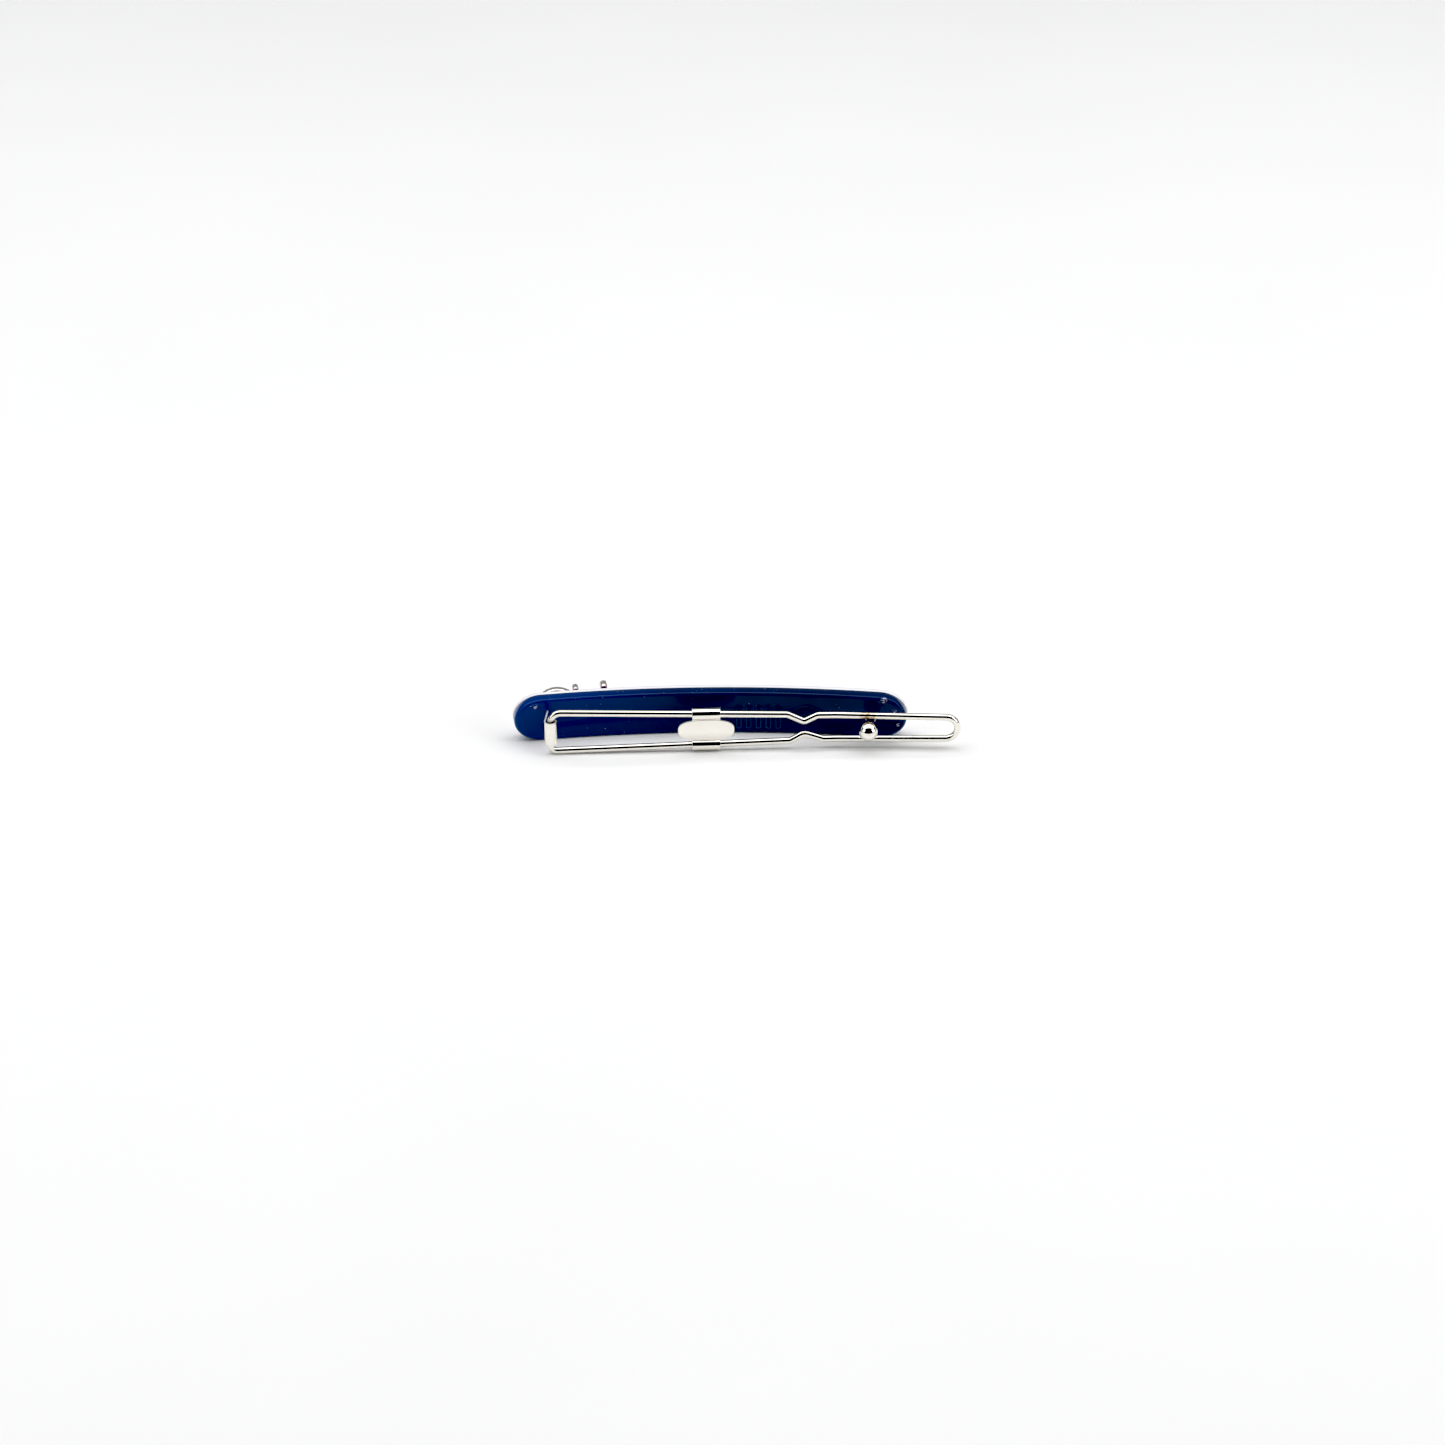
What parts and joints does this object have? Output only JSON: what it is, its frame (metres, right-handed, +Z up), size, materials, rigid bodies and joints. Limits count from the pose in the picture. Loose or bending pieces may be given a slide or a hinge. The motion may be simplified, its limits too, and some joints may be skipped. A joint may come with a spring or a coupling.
{
  "type": "hair slide",
  "caption": "Slim two-layer hair slide with a bowed bar, a bent-wire clip that swings on a rolled bracket and snaps over a ball stud.",
  "frame": {"origin": "middle of the bar's bottom long edge, halfway through the back layer, on the surface that the slide stands on", "axes": "+X along the bar to the clip's nose, -Y out of the clip side, +Y out of the decorated front, +Z up across the bar's width"},
  "size_m": [0.0819, 0.014, 0.0091],
  "materials": {
    "navy_acetate": "polished navy acetate, back layer",
    "white_acetate": "polished white acetate, front layer",
    "sheet_nickel": "bright nickel-plated sheet steel",
    "wire_nickel": "bright nickel-plated spring wire",
    "stud_nickel": "bright nickel-plated brass stud",
    "setting_metal": "bright plated cast setting",
    "crystal": "clear faceted crystal with a faint rose tint"
  },
  "bodies": {
    "bar": {"back_bar": "navy_acetate", "front_layer": "white_acetate", "hinge_bracket": "sheet_nickel", "catch_stud": "stud_nickel", "sprig_setting": "setting_metal", "leaf_crystal_upper": "crystal", "leaf_crystal_lower": "crystal", "bud_crystal_inner": "crystal", "bud_crystal_upper": "crystal", "bud_crystal_lower": "crystal", "bud_crystal_end": "crystal"},
    "clip": {"wire_clip": "wire_nickel", "pressure_plate": "sheet_nickel"}
  },
  "joints": [
    {"name": "clip_hinge", "type": "hinge", "parent": "bar", "child": "clip", "pos_m": [-0.02913, -0.00802, 0.0043], "axis": [0, 0, -1], "range_deg": [0, 120]}
  ]
}
